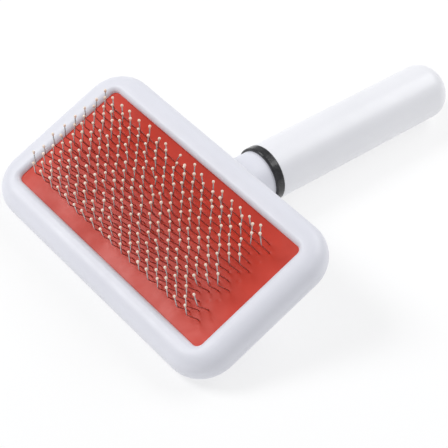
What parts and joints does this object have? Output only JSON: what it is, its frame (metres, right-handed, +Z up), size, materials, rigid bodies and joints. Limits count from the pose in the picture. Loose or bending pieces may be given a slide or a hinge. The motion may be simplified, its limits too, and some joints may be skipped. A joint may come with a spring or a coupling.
{
  "type": "slicker brush",
  "caption": "Slicker brush for pets: a round handle leaning back from a rounded head, whose rubber pad carries staggered rows of kneed wire pins with coated tips.",
  "frame": {"origin": "on the table, below the middle of the whole brush, as it lies on the back edge of its head and the end of its handle with the pins up", "axes": "+X along the long side of the head, +Y along the handle towards its closed end, +Z up"},
  "size_m": [0.128, 0.1766, 0.0434],
  "materials": {
    "white_plastic": "moulded white, soft gloss",
    "white_handle": "moulded white, smooth gloss",
    "natural_plastic": "unfinished moulded plate",
    "red_rubber": "smooth rubber sheet, satin",
    "canvas": "woven cotton foundation",
    "black_plastic": "gloss black",
    "pin_wire": "drawn steel wire",
    "tip_resin": "dipped resin beads"
  },
  "bodies": {
    "root": {"front_frame": "white_plastic", "back_shell": "white_plastic", "pad_tray": "natural_plastic", "rubber_pad": "red_rubber", "canvas_backing": "canvas", "collar_ring": "black_plastic", "handle": "white_handle"},
    "pins_01": {"pin_row_01": "pin_wire", "tip_row_01": "tip_resin"},
    "pins_02": {"pin_row_02": "pin_wire", "tip_row_02": "tip_resin"},
    "pins_03": {"pin_row_03": "pin_wire", "tip_row_03": "tip_resin"},
    "pins_04": {"pin_row_04": "pin_wire", "tip_row_04": "tip_resin"},
    "pins_05": {"pin_row_05": "pin_wire", "tip_row_05": "tip_resin"},
    "pins_06": {"pin_row_06": "pin_wire", "tip_row_06": "tip_resin"},
    "pins_07": {"pin_row_07": "pin_wire", "tip_row_07": "tip_resin"},
    "pins_08": {"pin_row_08": "pin_wire", "tip_row_08": "tip_resin"},
    "pins_09": {"pin_row_09": "pin_wire", "tip_row_09": "tip_resin"},
    "pins_10": {"pin_row_10": "pin_wire", "tip_row_10": "tip_resin"},
    "pins_11": {"pin_row_11": "pin_wire", "tip_row_11": "tip_resin"},
    "pins_12": {"pin_row_12": "pin_wire", "tip_row_12": "tip_resin"},
    "pins_13": {"pin_row_13": "pin_wire", "tip_row_13": "tip_resin"},
    "pins_14": {"pin_row_14": "pin_wire", "tip_row_14": "tip_resin"},
    "pins_15": {"pin_row_15": "pin_wire", "tip_row_15": "tip_resin"},
    "pins_16": {"pin_row_16": "pin_wire", "tip_row_16": "tip_resin"}
  },
  "joints": [
    {"name": "pin_row_01_flex", "type": "hinge", "parent": "root", "child": "pins_01", "pos_m": [0, -0.07284, 0.014], "axis": [1, 0, 0], "range_deg": [-7, 7], "stiffness_Nm_per_rad": 0.26},
    {"name": "pin_row_02_flex", "type": "hinge", "parent": "root", "child": "pins_02", "pos_m": [0, -0.07062, 0.015], "axis": [1, 0, 0], "range_deg": [-7, 7], "stiffness_Nm_per_rad": 0.26},
    {"name": "pin_row_03_flex", "type": "hinge", "parent": "root", "child": "pins_03", "pos_m": [0, -0.0684, 0.01599], "axis": [1, 0, 0], "range_deg": [-7, 7], "stiffness_Nm_per_rad": 0.26},
    {"name": "pin_row_04_flex", "type": "hinge", "parent": "root", "child": "pins_04", "pos_m": [0, -0.06619, 0.01699], "axis": [1, 0, 0], "range_deg": [-7, 7], "stiffness_Nm_per_rad": 0.26},
    {"name": "pin_row_05_flex", "type": "hinge", "parent": "root", "child": "pins_05", "pos_m": [0, -0.06397, 0.01799], "axis": [1, 0, 0], "range_deg": [-7, 7], "stiffness_Nm_per_rad": 0.26},
    {"name": "pin_row_06_flex", "type": "hinge", "parent": "root", "child": "pins_06", "pos_m": [0, -0.06176, 0.01898], "axis": [1, 0, 0], "range_deg": [-7, 7], "stiffness_Nm_per_rad": 0.26},
    {"name": "pin_row_07_flex", "type": "hinge", "parent": "root", "child": "pins_07", "pos_m": [0, -0.05954, 0.01998], "axis": [1, 0, 0], "range_deg": [-7, 7], "stiffness_Nm_per_rad": 0.26},
    {"name": "pin_row_08_flex", "type": "hinge", "parent": "root", "child": "pins_08", "pos_m": [0, -0.05732, 0.02097], "axis": [1, 0, 0], "range_deg": [-7, 7], "stiffness_Nm_per_rad": 0.26},
    {"name": "pin_row_09_flex", "type": "hinge", "parent": "root", "child": "pins_09", "pos_m": [0, -0.05511, 0.02197], "axis": [1, 0, 0], "range_deg": [-7, 7], "stiffness_Nm_per_rad": 0.26},
    {"name": "pin_row_10_flex", "type": "hinge", "parent": "root", "child": "pins_10", "pos_m": [0, -0.05289, 0.02297], "axis": [1, 0, 0], "range_deg": [-7, 7], "stiffness_Nm_per_rad": 0.26},
    {"name": "pin_row_11_flex", "type": "hinge", "parent": "root", "child": "pins_11", "pos_m": [0, -0.05067, 0.02396], "axis": [1, 0, 0], "range_deg": [-7, 7], "stiffness_Nm_per_rad": 0.26},
    {"name": "pin_row_12_flex", "type": "hinge", "parent": "root", "child": "pins_12", "pos_m": [0, -0.04846, 0.02496], "axis": [1, 0, 0], "range_deg": [-7, 7], "stiffness_Nm_per_rad": 0.26},
    {"name": "pin_row_13_flex", "type": "hinge", "parent": "root", "child": "pins_13", "pos_m": [0, -0.04624, 0.02595], "axis": [1, 0, 0], "range_deg": [-7, 7], "stiffness_Nm_per_rad": 0.26},
    {"name": "pin_row_14_flex", "type": "hinge", "parent": "root", "child": "pins_14", "pos_m": [0, -0.04402, 0.02695], "axis": [1, 0, 0], "range_deg": [-7, 7], "stiffness_Nm_per_rad": 0.26},
    {"name": "pin_row_15_flex", "type": "hinge", "parent": "root", "child": "pins_15", "pos_m": [0, -0.04181, 0.02795], "axis": [1, 0, 0], "range_deg": [-7, 7], "stiffness_Nm_per_rad": 0.26},
    {"name": "pin_row_16_flex", "type": "hinge", "parent": "root", "child": "pins_16", "pos_m": [0, -0.03959, 0.02894], "axis": [1, 0, 0], "range_deg": [-7, 7], "stiffness_Nm_per_rad": 0.26}
  ]
}
